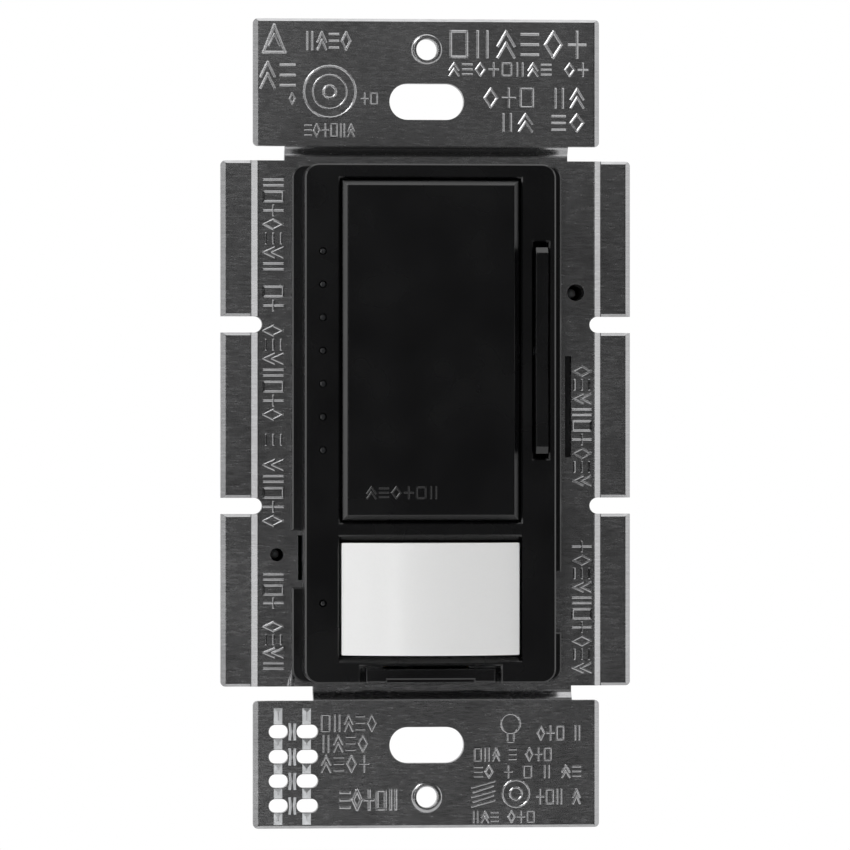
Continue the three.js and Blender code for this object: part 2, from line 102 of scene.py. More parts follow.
def mark_sharp(obj, angle=35):
    """Smooth shading, with a crease where faces meet at more than the angle."""
    bm = bmesh.new()
    bm.from_mesh(obj.data)
    for face in bm.faces:
        face.smooth = True
    for edge in bm.edges:
        edge.smooth = len(edge.link_faces) == 2 and edge.calc_face_angle(0) < math.radians(angle)
    bm.to_mesh(obj.data)
    bm.free()
    return obj


def chamfer_front(obj, front, width):
    """A 45 degree chamfer round a flat front, but not round its smallest holes, in millimetres."""
    bm = bmesh.new()
    bm.from_mesh(obj.data)
    edges = [edge for edge in bm.edges
             if all(abs(vert.co.y / MM - front) < 0.02 for vert in edge.verts)
             and edge.calc_length() > SMALL_HOLE_EDGE * MM
             and edge.is_convex
             and edge.calc_face_angle(0) > math.radians(20)]
    bmesh.ops.bevel(bm, geom=edges, offset=width * MM, segments=1, affect="EDGES", clamp_overlap=False)
    bm.to_mesh(obj.data)
    bm.free()
    return obj


def soften(obj, width, segments=2, angle=35, crease=None):
    """Rounds the sharp edges by a real bevel, width in millimetres, and shades the rest smooth."""
    bevel = obj.modifiers.new("bevel", "BEVEL")
    bevel.width = width * MM
    bevel.segments = segments
    bevel.limit_method = "ANGLE"
    bevel.angle_limit = math.radians(angle)
    bevel.use_clamp_overlap = True
    bevel.face_strength_mode = "FSTR_ALL"
    evaluated(obj)
    mark_sharp(obj, crease or angle)
    normals = obj.modifiers.new("normals", "WEIGHTED_NORMAL")
    normals.keep_sharp = True
    normals.use_face_influence = True
    normals.weight = 100
    return obj


def ring_prism(outline, y0, y1):
    """A closed prism of an X-Z outline between two depths, in millimetres."""
    bm = bmesh.new()
    front = [bm.verts.new((x * MM, y0 * MM, z * MM)) for x, z in outline]
    back = [bm.verts.new((x * MM, y1 * MM, z * MM)) for x, z in outline]
    bm.faces.new(front)
    bm.faces.new(list(reversed(back)))
    for i in range(len(outline)):
        j = (i + 1) % len(outline)
        bm.faces.new((front[j], front[i], back[i], back[j]))
    bmesh.ops.recalc_face_normals(bm, faces=bm.faces)
    return bm


def frustum(x0, x1, z0, z1, y0, y1, grow):
    """A box cutter that is taller by grow, up and down, at its front end y0."""
    bm = ring_prism([(x0, z0), (x1, z0), (x1, z1), (x0, z1)], y0, y1)
    for vert in bm.verts:
        if vert.co.y < (y0 + y1) / 2 * MM:
            vert.co.z += math.copysign(grow * MM, vert.co.z - (z0 + z1) / 2 * MM)
    return new_object("cutter", bm)


def box(x0, x1, y0, y1, z0, z1):
    return new_object("cutter", ring_prism([(x0, z0), (x1, z0), (x1, z1), (x0, z1)], y0, y1))


def column(outline, start, end, along="Z"):
    """A closed prism in millimetres: a section in X and Y run up Z, or one in Z and Y run along X."""
    bm = bmesh.new()
    rings = []
    for t in (start, end):
        spots = [(u, y, t) if along == "Z" else (t, y, u) for u, y in outline]
        rings.append([bm.verts.new(Vector(spot) * MM) for spot in spots])
    low, high = rings
    bm.faces.new(low)
    bm.faces.new(list(reversed(high)))
    for i in range(len(outline)):
        j = (i + 1) % len(outline)
        bm.faces.new((low[j], low[i], high[i], high[j]))
    bmesh.ops.recalc_face_normals(bm, faces=bm.faces)
    return new_object("column", bm)


def place(piece, body, material, replaces=None):
    """Gives a piece its material and ties it to its body."""
    piece.data.materials.clear()
    piece.data.materials.append(material)
    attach(piece, body)
    if replaces:
        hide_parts(replaces)
    return piece


replaced = set()


def stand_for(piece, node, material):
    replaced.add(node)
    return place(piece, BODY_OF[node], material, replaces=node)


# ---- material helpers --------------------------------------------------------------------

class Surface:
    """A Principled material built from procedural layers in object space."""

    def __init__(self, name, color, roughness, metallic=0.0):
        self.material = bpy.data.materials.new(name)
        self.material.use_nodes = True
        self.tree = self.material.node_tree
        self.shader = self.tree.nodes["Principled BSDF"]
        self.color = color
        self.shader.inputs["Base Color"].default_value = (*color, 1)
        self.shader.inputs["Roughness"].default_value = roughness
        self.shader.inputs["Metallic"].default_value = metallic

    def node(self, kind, **inputs):
        made = self.tree.nodes.new(kind)
        for name, value in inputs.items():
            made.inputs[name.replace("_", " ")].default_value = value
        return made

    def place(self, scale):
        source = self.node("ShaderNodeTexCoord")
        mapping = self.node("ShaderNodeMapping", Scale=scale)
        self.tree.links.new(source.outputs["Object"], mapping.inputs["Vector"])
        return mapping.outputs["Vector"]

    def noise(self, scale, detail=3.0):
        texture = self.node("ShaderNodeTexNoise", Scale=1.0, Detail=detail)
        self.tree.links.new(self.place(scale), texture.inputs["Vector"])
        return texture.outputs["Fac"]

    def cells(self, scale):
        texture = self.node("ShaderNodeTexVoronoi", Scale=1.0)
        self.tree.links.new(self.place(scale), texture.inputs["Vector"])
        return texture.outputs["Distance"]

    def bands(self, scale, direction="Z"):
        texture = self.node("ShaderNodeTexWave", Scale=1.0)
        texture.bands_direction = direction
        self.tree.links.new(self.place((scale, scale, scale)), texture.inputs["Vector"])
        return texture.outputs["Fac"]

    def blend(self, first, second, share=0.5):
        mix = self.node("ShaderNodeMix")
        mix.inputs["Factor"].default_value = share
        self.tree.links.new(first, mix.inputs["A"])
        self.tree.links.new(second, mix.inputs["B"])
        return mix.outputs["Result"]

    def tint(self, value, low, high):
        """Base colour from one shade to another as the value goes from 0.3 to 0.7."""
        ramp = self.node("ShaderNodeValToRGB")
        ramp.color_ramp.elements[0].position = 0.3
        ramp.color_ramp.elements[0].color = (*[c * low for c in self.color], 1)
        ramp.color_ramp.elements[1].position = 0.7
        ramp.color_ramp.elements[1].color = (*[c * high for c in self.color], 1)
        self.tree.links.new(value, ramp.inputs["Fac"])
        self.tree.links.new(ramp.outputs["Color"], self.shader.inputs["Base Color"])
        return self

    def rough(self, value, low, high):
        spread = self.node("ShaderNodeMapRange", From_Min=0.3, From_Max=0.7, To_Min=low, To_Max=high)
        self.tree.links.new(value, spread.inputs["Value"])
        self.tree.links.new(spread.outputs["Result"], self.shader.inputs["Roughness"])
        return self

    def bump(self, value, strength, distance):
        bump = self.node("ShaderNodeBump", Strength=strength, Distance=distance * MM)
        self.tree.links.new(value, bump.inputs["Height"])
        self.tree.links.new(bump.outputs["Normal"], self.shader.inputs["Normal"])
        return self


def brushed(name, color, low, high):
    """Sheet steel with fine brushing along X, and broad smudges."""
    surface = Surface(name, color, 0.25, 1.0)
    lines = surface.noise((800, 800, 5200), 3)
    smudge = surface.noise((75, 75, 75), 3)
    both = surface.blend(lines, smudge, 0.4)
    return surface.tint(both, low, high).rough(both, 0.2, 0.3).bump(lines, 0.2, 0.01).material


def moulded(name, color, low_rough, high_rough, grain, strength):
    """Moulded plastic: fine grain in the surface and a slow change of gloss."""
    surface = Surface(name, color, low_rough)
    fine = surface.noise((grain, grain, grain), 2)
    broad = surface.noise((110, 110, 110), 2)
    surface.tint(broad, 0.85, 1.15).rough(broad, low_rough, high_rough)
    return surface.bump(fine, strength, 0.03).material


def plated(name, color, low_rough=0.26, high_rough=0.42):
    """Plated small metal parts: soft cloudy grain."""
    surface = Surface(name, color, low_rough, 1.0)
    cloud = surface.noise((900, 900, 900), 4)
    surface.tint(cloud, 0.82, 1.12).rough(cloud, low_rough, high_rough)
    return surface.bump(cloud, 0.15, 0.02).material


def speckled(name, color, roughness, grain=2600, low=0.75, high=1.3):
    """Cast or pressed parts with a speckle."""
    surface = Surface(name, color, roughness)
    dots = surface.cells((grain, grain, grain))
    surface.tint(dots, low, high).rough(dots, roughness * 0.85, roughness * 1.15)
    return surface.bump(dots, 0.2, 0.03).material


def circuit_board():
    surface = Surface("board", (0.012, 0.09, 0.035), 0.4)
    tracks = surface.bands(900, "X")
    islands = surface.noise((420, 420, 420), 1)
    both = surface.blend(tracks, islands, 0.6)
    return surface.tint(both, 0.7, 1.5).rough(both, 0.3, 0.5).bump(both, 0.2, 0.04).material


def wound_wire():
    surface = Surface("copper", (0.55, 0.22, 0.08), 0.3, 1.0)
    turns = surface.bands(1400, "Z")
    return surface.tint(turns, 0.55, 1.15).rough(turns, 0.25, 0.45).bump(turns, 0.8, 0.15).material


def milky_lens():
    surface = Surface("lens_plastic", (0.95, 0.95, 0.945), 0.22)
    fine = surface.noise((5000, 5000, 5000), 1)
    return surface.tint(fine, 0.992, 1.008).rough(fine, 0.2, 0.24).bump(fine, 0.05, 0.01).material


MATERIALS = {
    "yoke_steel": brushed("yoke_steel", (0.38, 0.38, 0.385), 0.78, 1.15),
    "black_plastic": moulded("black_plastic", (0.0022, 0.0022, 0.0026), 0.22, 0.3, 5200, 0.05),
    "housing_plastic": moulded("housing_plastic", (0.012, 0.012, 0.013), 0.42, 0.55, 2600, 0.35),
    "lens_plastic": milky_lens(),
    "clear_plastic": moulded("clear_plastic", (0.03, 0.031, 0.033), 0.08, 0.14, 4000, 0.03),
    "board": circuit_board(),
    "chip_black": speckled("chip_black", (0.016, 0.016, 0.017), 0.5),
    "tinned_steel": plated("tinned_steel", (0.56, 0.57, 0.58)),
    "brass": plated("brass", (0.62, 0.44, 0.18)),
    "copper": wound_wire(),
    "ferrite": speckled("ferrite", (0.04, 0.04, 0.043), 0.65, 1800),
    "pad": speckled("pad", (0.45, 0.48, 0.52), 0.8, 1500, 0.92, 1.06),
    "film_capacitor": moulded("film_capacitor", (0.42, 0.26, 0.03), 0.25, 0.35, 1500, 0.2),
    "capacitor_can": moulded("capacitor_can", (0.012, 0.02, 0.075), 0.22, 0.34, 2200, 0.1),
    "led_body": moulded("led_body", (0.62, 0.58, 0.42), 0.2, 0.3, 2500, 0.1),
    "green_steel": plated("green_steel", (0.05, 0.3, 0.09)),
}


# ---- yoke --------------------------------------------------------------------------------

EAR_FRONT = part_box("mounting_yoke")[0].y / MM
PLATE_FRONT = EAR_FRONT + 0.9
EAR_HALF_W = 22.5
EAR_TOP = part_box("mounting_yoke")[1].z / MM
EAR_LOW = 35.9
WING_HALF_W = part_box("mounting_yoke")[1].x / MM
WING_HALF_H = 34.05
WING_ROOT = 22.8
WING_GAPS = (12.82, -10.68)
WING_GAP_HALF = 1.05
VENT_ROWS = (-39.85, -43.1, -46.25, -49.45)
VENT_LANDS = ((-38.9, -36.8), (-42.15, -40.8), (-45.3, -44.05), (-48.5, -47.2), (-51.9, -50.4))
VENT_SPINE_X = -17.45
VENT_FOLDS_X = (-19.3, -15.6)
VENT_FOLD_W = 1.1
SNAP_X = 22.3
SNAP_RIDGE = ((-0.42, -0.1), (-0.42, 0.02), (-0.36, 0.55), (0.4, 0.0), (0.4, -0.1))
WING_SPANS = (
    (-WING_HALF_H, WING_GAPS[1] - WING_GAP_HALF),
    (WING_GAPS[1] + WING_GAP_HALF, WING_GAPS[0] - WING_GAP_HALF),
    (WING_GAPS[0] + WING_GAP_HALF, WING_HALF_H),
)
SIDE_ROLL = ((0.78, 0.0), (0.62, 0.05), (0.0, 0.45))
END_ROLL = ((0.36, 0.0), (0.0, 0.3))
COLLAR_Z = 48.42
COLLAR_STEPS = 40
COLLAR_PROFILE = (
    (1.38, 0.0), (1.38, 0.21), (1.5, 0.25), (1.68, 0.25),
    (1.95, 0.14), (2.05, 0.0), (2.05, -0.05), (1.38, -0.05),
)


def edge_cutter(edge, outward, front, start, end, along, profile):
    """Cuts an edge to a profile of (inset, drop) pairs, such as the roll that a shear leaves."""
    section = [(edge - outward * inset, front + drop) for inset, drop in profile]
    deepest = profile[-1][1]
    section += [(edge + outward, front + deepest), (edge + outward, front - 1), (section[0][0], front - 1)]
    return column(section, start, end, along)


def ear_cutters(end):
    low, high = sorted((end * EAR_LOW, end * (EAR_TOP + 1)))
    sides = [
        edge_cutter(side * EAR_HALF_W, side, EAR_FRONT, low, high, "Z", SIDE_ROLL)
        for side in (-1, 1)
    ]
    tip = edge_cutter(end * EAR_TOP, end, EAR_FRONT, -EAR_HALF_W - 1, EAR_HALF_W + 1, "X", END_ROLL)
    return [*sides, tip]


def wing_cutters(side):
    root, tip = sorted((side * WING_ROOT, side * (WING_HALF_W + 1)))
    edges = [(WING_HALF_H, 1), (-WING_HALF_H, -1)]
    for gap in WING_GAPS:
        edges += [(gap - WING_GAP_HALF, 1), (gap + WING_GAP_HALF, -1)]
    cutters = [edge_cutter(z, outward, PLATE_FRONT, root, tip, "X", END_ROLL) for z, outward in edges]
    low, high = -WING_HALF_H - 1, WING_HALF_H + 1
    return [*cutters, edge_cutter(side * WING_HALF_W, side, PLATE_FRONT, low, high, "Z", SIDE_ROLL)]


def snap_ridges():
    """The ridge at the root of each wing, where it snaps off, with its long slope facing outward."""
    bm = bmesh.new()
    for side in (-1, 1):
        for span in WING_SPANS:
            rings = [[bm.verts.new((side * (SNAP_X + x) * MM, (PLATE_FRONT - h) * MM, z * MM))
                      for x, h in SNAP_RIDGE] for z in span]
            for ring in rings:
                bm.faces.new(ring)
            for k in range(len(SNAP_RIDGE)):
                n = (k + 1) % len(SNAP_RIDGE)
                bm.faces.new((rings[0][k], rings[0][n], rings[1][n], rings[1][k]))
    bmesh.ops.recalc_face_normals(bm, faces=bm.faces)
    return new_object("snap_ridges", bm)


def mounting_yoke():
    yoke = copy_of("mounting_yoke", "yoke_sheet")
    cutters = [tool for side in (-1, 1) for tool in (*ear_cutters(side), *wing_cutters(side))]
    cut(yoke, cutters)
    soften(yoke, 0.05, 2, 30, crease=10)
    return stand_for(yoke, "mounting_yoke", MATERIALS["yoke_steel"])


def screw_collar(z):
    """The rolled collar round a wallplate screw hole."""
    bm = bmesh.new()
    rings = []
    for i in range(COLLAR_STEPS):
        a = 2 * math.pi * i / COLLAR_STEPS
        rings.append([bm.verts.new((r * math.cos(a) * MM, (EAR_FRONT + 0.02 - h) * MM,
                                    (z + r * math.sin(a)) * MM)) for r, h in COLLAR_PROFILE])
    for i in range(COLLAR_STEPS):
        here, there = rings[i], rings[(i + 1) % COLLAR_STEPS]
        for k in range(len(here)):
            n = (k + 1) % len(here)
            bm.faces.new((here[k], here[n], there[n], there[k]))
    bmesh.ops.recalc_face_normals(bm, faces=bm.faces)
    return new_object("collar", bm)


def vent_ribs():
    """The pinched ribs that cross the vents, and the folds beside each land. They are made to read bright
    by a painted highlight: they get the lighter tinned steel, not the yoke's own steel.
    """
    bm = bmesh.new()
    for row in VENT_ROWS:
        for side in (-1, 1):
            x = VENT_SPINE_X + side * 0.33
            waist = x - side * 0.1
            ridge(bm, (x, row - 0.95), (waist, row), 0.34, EAR_FRONT)
            ridge(bm, (waist, row), (x, row + 0.95), 0.34, EAR_FRONT)
    for low, high in VENT_LANDS:
        for x in VENT_FOLDS_X:
            ridge(bm, (x, low + 0.56), (x, high - 0.56), VENT_FOLD_W, EAR_FRONT, VENT_FOLD_W / 2 - 0.04)
    bmesh.ops.recalc_face_normals(bm, faces=bm.faces)
    return new_object("vent_ribs", bm)


def corner_dart():
    """The pinched dart in the plate at the lower left of the bezel."""
    bm = bmesh.new()
    around = 10
    tip = bm.verts.new((-17.35 * MM, PLATE_FRONT * MM, -31.4 * MM))
    ring = []
    for k in range(around):
        a = 2 * math.pi * k / around
        ring.append(bm.verts.new(((-17.55 + 0.62 * math.cos(a)) * MM,
                                  (PLATE_FRONT + 0.1 - 0.4 * math.sin(a)) * MM, -33.95 * MM)))
    for k in range(around):
        bm.faces.new((tip, ring[k], ring[(k + 1) % around]))
    bm.faces.new(ring)
    bmesh.ops.recalc_face_normals(bm, faces=bm.faces)
    return mark_sharp(new_object("corner_dart", bm), 50)


# ---- stamped marks: plain symbols, no lettering --------------------------------------------

GLYPHS = (
    (((0, 0), (0, 1), (1, 1), (1, 0), (0, 0)),),
    (((0.2, 0), (0.2, 1)), ((0.8, 0), (0.8, 1))),
    (((0, 0.45), (0.5, 1), (1, 0.45)), ((0, 0), (0.5, 0.55), (1, 0))),
    (((0, 0.1), (1, 0.1)), ((0, 0.5), (1, 0.5)), ((0, 0.9), (1, 0.9))),
    (((0.5, 0), (1, 0.5), (0.5, 1), (0, 0.5), (0.5, 0)),),
    (((0, 0.5), (1, 0.5)), ((0.5, 0), (0.5, 1))),
)
# How far in a stroke's sides run, and how much they rise for each millimetre of that.
MARK_SLOPE = 0.16
MARK_PITCH = 0.66


def ridge(bm, a, b, width, surface, slope=None):
    """One raised stroke from a to b, both (x, z) in millimetres, with sloping sides."""
    a, b = Vector(a), Vector(b)
    run = (b - a).normalized()
    side = Vector((-run.y, run.x))
    slope = slope or min(MARK_SLOPE, width / 2 - 0.02)
    peak = surface - slope * MARK_PITCH
    levels = []
    for half, y in ((width / 2, surface + 0.03), (width / 2, surface), (width / 2 - slope, peak)):
        corners = (a - run * half - side * half, b + run * half - side * half,
                   b + run * half + side * half, a - run * half + side * half)
        levels.append([bm.verts.new((c.x * MM, y * MM, c.y * MM)) for c in corners])
    for low, high in zip(levels, levels[1:]):
        for k in range(4):
            n = (k + 1) % 4
            bm.faces.new((low[k], low[n], high[n], high[k]))
    bm.faces.new(levels[0])
    bm.faces.new(levels[-1])


def path(bm, points, width, surface):
    for a, b in zip(points, points[1:]):
        ridge(bm, a, b, width, surface)


def circle(bm, x, z, r, width, surface, steps=28):
    turn = [2 * math.pi * i / steps for i in range(steps + 1)]
    path(bm, [(x + r * math.cos(a), z + r * math.sin(a)) for a in turn], width, surface)


def glyph_row(bm, x0, x1, z0, z1, groups, width, surface, start=0):
    """Symbols in groups along X, filling the box, with a gap between groups."""
    spaces = sum(groups) + 0.8 * (len(groups) - 1)
    pitch = (x1 - x0) / spaces
    x = x0
    index = start
    for count in groups:
        for _ in range(count):
            for line in GLYPHS[index % len(GLYPHS)]:
                points = [(x + (0.1 + 0.68 * u) * pitch, z0 + v * (z1 - z0)) for u, v in line]
                path(bm, points, width, surface)
            x += pitch
            index += 1
        x += 0.8 * pitch


def upright_row(bm, x0, x1, z0, z1, groups, width, surface, start=0):
    """The same, run up along Z, as read from the right."""
    turned = bmesh.new()
    glyph_row(turned, z0, z1, 0, x1 - x0, groups, width, surface, start)
    for vert in turned.verts:
        along, y, across = vert.co
        vert.co = (x1 * MM - across, y, along)
    bmesh.ops.recalc_face_normals(turned, faces=turned.faces)
    mesh = bpy.data.meshes.new("turned")
    turned.to_mesh(mesh)
    turned.free()
    bm.from_mesh(mesh)
    bpy.data.meshes.remove(mesh)


def top_ear_marks(bm):
    ear = EAR_FRONT
    path(bm, [(-21.2, 48.0), (-19.8, 51.5), (-18.4, 48.0), (-21.2, 48.0)], 0.36, ear)
    path(bm, [(-20.5, 48.9), (-19.8, 50.3), (-19.1, 48.9)], 0.26, ear)
    glyph_row(bm, -21.8, -16.6, 43.4, 46.7, [2], 0.34, ear, 2)
    glyph_row(bm, -15.9, -9.6, 48.4, 50.6, [4], 0.3, ear, 1)
    circle(bm, -12.6, 42.9, 3.35, 0.3, ear)
    circle(bm, -12.6, 42.9, 2.2, 0.22, ear)
    circle(bm, -12.6, 42.9, 0.8, 0.3, ear, 14)
    glyph_row(bm, -17.9, -16.9, 41.3, 42.7, [1], 0.22, ear, 4)
    glyph_row(bm, -8.6, -6.2, 41.3, 42.7, [2], 0.22, ear, 5)
    glyph_row(bm, -15.9, -9.2, 37.1, 38.7, [6], 0.22, ear, 3)
    glyph_row(bm, 2.8, 21.3, 47.5, 50.8, [6], 0.36, ear, 0)
    glyph_row(bm, 2.8, 21.3, 45.1, 46.7, [8, 2], 0.26, ear, 2)
    glyph_row(bm, 7.3, 20.9, 41.0, 43.4, [3, 2], 0.3, ear, 4)
    glyph_row(bm, 9.4, 20.9, 37.9, 40.1, [2, 2], 0.3, ear, 1)


def plate_marks(bm):
    upright_row(bm, -21.1, -18.6, -32.1, -18.9, [4, 3], 0.3, PLATE_FRONT, 1)
    upright_row(bm, -21.1, -18.6, -13.4, 32.2, [5, 1, 7, 2, 7], 0.3, PLATE_FRONT, 4)
    upright_row(bm, 19.1, 21.5, -32.5, -15.0, [10], 0.3, PLATE_FRONT, 2)
    upright_row(bm, 19.1, 21.5, -8.2, 7.8, [9], 0.3, PLATE_FRONT, 2)


def bottom_ear_marks(bm):
    ear = EAR_FRONT
    for row, (count, x1) in enumerate([(5, -6.3), (4, -7.4), (4, -7.2)]):
        z1 = -37.7 - 2.65 * row
        glyph_row(bm, -13.8, x1, z1 - 2.1, z1, [count], 0.22, ear, row)
    glyph_row(bm, -11.3, -3.5, -49.9, -47.5, [5], 0.42, ear, 3)
    circle(bm, 10.9, -38.9, 1.25, 0.24, ear, 18)
    path(bm, [(10.5, -40.1), (10.5, -41.3), (11.3, -41.3), (11.3, -40.1)], 0.22, ear)
    glyph_row(bm, 14.3, 20.3, -41.0, -39.3, [3, 1], 0.26, ear, 4)
    glyph_row(bm, 6.1, 16.4, -43.7, -42.1, [3, 1, 3], 0.24, ear, 0)
    glyph_row(bm, 6.1, 20.3, -45.9, -44.4, [2, 1, 1, 1, 2], 0.24, ear, 3)
    for k in range(5):
        z = -46.8 - 0.62 * k
        path(bm, [(5.9 + 0.2 * (k % 2), z - 0.4), (8.8 - 0.2 * (k % 2), z + 0.4)], 0.24, ear)
    circle(bm, 11.6, -48.0, 1.75, 0.24, ear, 20)
    circle(bm, 11.6, -48.0, 0.8, 0.24, ear, 12)
    glyph_row(bm, 14.2, 20.2, -49.3, -47.5, [3, 1], 0.26, ear, 5)
    glyph_row(bm, 5.8, 14.2, -51.7, -50.3, [3, 3], 0.22, ear, 1)


def stamped_marks():
    bm = bmesh.new()
    top_ear_marks(bm)
    plate_marks(bm)
    bottom_ear_marks(bm)
    bmesh.ops.recalc_face_normals(bm, faces=bm.faces)
    marks = new_object("stamped_marks", bm)
    place(marks, "root", MATERIALS["yoke_steel"])


mounting_yoke()
for name, z in (("top_collar", COLLAR_Z), ("bottom_collar", -COLLAR_Z)):
    collar = mark_sharp(screw_collar(z), 40)
    collar.name = name
    place(collar, "root", MATERIALS["yoke_steel"])
# The vent ribs and folds belong to the yoke sheet, but get the lighter tinned steel: a painted highlight
# that makes them read bright.
place(vent_ribs(), "root", MATERIALS["tinned_steel"])
place(snap_ridges(), "root", MATERIALS["yoke_steel"])
place(corner_dart(), "root", MATERIALS["yoke_steel"])
stamped_marks()


# ---- front plastics ----------------------------------------------------------------------

FACE_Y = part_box("front_bezel")[0].y / MM
FLANGE_THICK = 1.1
FLANGE_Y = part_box("front_bezel")[1].y / MM - FLANGE_THICK
LENS_LOW, LENS_HIGH = (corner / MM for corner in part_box("sensor_lens"))
LENS_GAP = 0.3
LENS_CHAMFER_DEEP = 0.85
LENS_CHAMFER_TALL = 0.74
PADDLE_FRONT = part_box("tap_paddle")[0].y / MM
ROCKER_END = ((0.8, 0.0), (0.0, 0.8))


def front_bezel():
    """The CAD bezel with a chamfered lens opening, and its front edges broken."""
    bezel = copy_of("front_bezel", "bezel_shell")
    half = LENS_HIGH.x + LENS_GAP
    low, high = LENS_LOW.z - LENS_GAP, LENS_HIGH.z + LENS_GAP
    opening = frustum(-half, half, low, high, FACE_Y - 0.2, FACE_Y + LENS_CHAMFER_DEEP, LENS_CHAMFER_TALL)
    cut(bezel, [opening])
    chamfer_front(bezel, FACE_Y, 0.2)
    chamfer_front(bezel, FLANGE_Y, 0.2)
    soften(bezel, 0.03, 1, 30)
    return stand_for(bezel, "front_bezel", MATERIALS["black_plastic"])


def tap_paddle():
    paddle = copy_of("tap_paddle", "paddle_cap")
    soften(paddle, 0.09, 2, 30)
    return stand_for(paddle, "tap_paddle", MATERIALS["black_plastic"])


def paddle_marks():
    """A small row of plain raised symbols, low on the paddle."""
    bm = bmesh.new()
    glyph_row(bm, -8.4, 1.2, -9.6, -8.2, [6], 0.26, PADDLE_FRONT, 2)
    bmesh.ops.recalc_face_normals(bm, faces=bm.faces)
    place(new_object("paddle_marks", bm), "paddle", MATERIALS["black_plastic"])


def dimming_rocker():
    """The CAD blade with its top end sloped back."""
    rocker = copy_of("dimming_rocker", "rocker_blade")
    low, high = (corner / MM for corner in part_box("dimming_rocker"))
    cut(rocker, [edge_cutter(high.z, 1, low.y, low.x - 1, high.x + 1, "X", ROCKER_END)])
    soften(rocker, 0.1, 2, 25)
    return stand_for(rocker, "dimming_rocker", MATERIALS["black_plastic"])


def service_tab():
    """The finger tab, with a ledge along its lower edge to catch a nail."""
    tab = copy_of("service_tab", "service_tab_shell")
    cut(tab, [box(-5.6, 5.6, FACE_Y - 1, FACE_Y + 0.5, -34, -32.95)])
    chamfer_front(tab, FACE_Y, 0.18)
    soften(tab, 0.03, 1, 30)
    return stand_for(tab, "service_tab", MATERIALS["black_plastic"])


LENS_STEPS = 72
LENS_BULGE = 2.6
LENS_EDGE_Y = -7.4
LENS_WALL = 1.1


def lens_outline(half, edge_y, bulge, back_y):
    """The lens section in X-Y: an arc in front, straight sides behind."""
    radius = (half * half + bulge * bulge) / (2 * bulge)
    spread = math.asin(half / radius)
    turn = [-spread + 2 * spread * i / LENS_STEPS for i in range(LENS_STEPS + 1)]
    arc = [(radius * math.sin(a), edge_y - bulge + radius * (1 - math.cos(a))) for a in turn]
    return [(-half, back_y), *arc, (half, back_y)]


def sensor_lens():
    """A cover curved about a vertical axis, with a thin wall and rounded edges."""
    half = LENS_HIGH.x
    lens = column(lens_outline(half, LENS_EDGE_Y, LENS_BULGE, LENS_HIGH.y), LENS_LOW.z, LENS_HIGH.z)
    hollow = column(
        lens_outline(half - LENS_WALL, LENS_EDGE_Y + LENS_WALL, LENS_BULGE - 0.1, LENS_HIGH.y + 1),
        LENS_LOW.z + LENS_WALL,
        LENS_HIGH.z - LENS_WALL,
    )
    lens.name = "lens_cover"
    cut(lens, [hollow])
    soften(lens, 0.16, 3)
    return stand_for(lens, "sensor_lens", MATERIALS["lens_plastic"])


front_bezel()
tap_paddle()
paddle_marks()
dimming_rocker()
service_tab()
sensor_lens()
for node in ("light_pipe", "sensor_light_pipe"):
    pipe = copy_of(node, node + "_clear")
    soften(pipe, 0.1, 2, 50)
    stand_for(pipe, node, MATERIALS["clear_plastic"])


# ---- rear housing, terminals and inside ----------------------------------------------------

HOUSING_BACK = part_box("rear_housing")[1].y / MM
HOUSING_HALF_W = 19.3


def rear_housing():
    """The CAD housing with a recessed back panel, cooling slots and moulded side grooves."""
    housing = copy_of("rear_housing", "housing_shell")
    back = HOUSING_BACK
    tools = [box(-14, 14, back - 0.5, back + 1, -22, 8)]
    tools += [box(-12 + 4 * i, -10 + 4 * i, back - 3, back + 1, 14, 26) for i in range(7)]
    for side in (-1, 1):
        x0, x1 = sorted((side * (HOUSING_HALF_W - 0.4), side * (HOUSING_HALF_W + 1)))
        tools += [box(x0, x1, y, y + 1.2, -31, -21) for y in (7, 11, 15, 19, 23)]
    cut(housing, tools)
    soften(housing, 0.3, 2)
    return stand_for(housing, "rear_housing", MATERIALS["housing_plastic"])


def small_part(node, width, angle=35):
    part = copy_of(node, node + "_fine")
    soften(part, width, 2, angle)
    return stand_for(part, node, MATERIALS[SLOTS[node]])


def terminal_screw(node):
    """The CAD screw with a cross slot beside its straight one, and a rounded head."""
    screw = copy_of(node, node + "_fine")
    low, high = (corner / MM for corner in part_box(node))
    side = 1 if high.x > 0 else -1
    outer = high.x if side > 0 else low.x
    middle_y, middle_z = (low.y + high.y) / 2, (low.z + high.z) / 2
    x0, x1 = sorted((outer - side * 0.8, outer + side))
    cut(screw, [box(x0, x1, middle_y - 0.45, middle_y + 0.45, middle_z - 2.1, middle_z + 2.1)])
    soften(screw, 0.22, 2)
    return stand_for(screw, node, MATERIALS[SLOTS[node]])


TIP_SUNK = 4.5


def body_screw(node):
    """A pan-head screw with a cross recess in the head, its tip sunk in the hole."""
    screw = copy_of(node, node + "_fine")
    low, high = (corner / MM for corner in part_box(node))
    x, z, back = (low.x + high.x) / 2, (low.z + high.z) / 2, high.y
    cut(screw, [
        box(x - 2, x + 2, low.y - 1, low.y + TIP_SUNK, z - 2, z + 2),
        box(x - 1.0, x + 1.0, back - 0.6, back + 1, z - 0.22, z + 0.22),
        box(x - 0.22, x + 0.22, back - 0.6, back + 1, z - 1.0, z + 1.0),
    ])
    soften(screw, 0.12, 2)
    return stand_for(screw, node, MATERIALS[SLOTS[node]])


rear_housing()
for number in range(1, 5):
    terminal_screw(f"terminal_screw_{number}")
    small_part(f"terminal_plate_{number}", 0.15)
    small_part(f"clamp_plate_{number}", 0.2)
for number in (1, 2):
    body_screw(f"body_screw_{number}")

for node in NODES:
    if node not in replaced:
        small_part(node, 0.08)


# ---- studio ------------------------------------------------------------------------------

FIELD = 850 / 7.706 * MM
DISTANCE = 0.8
YAW = math.radians(-5.0)


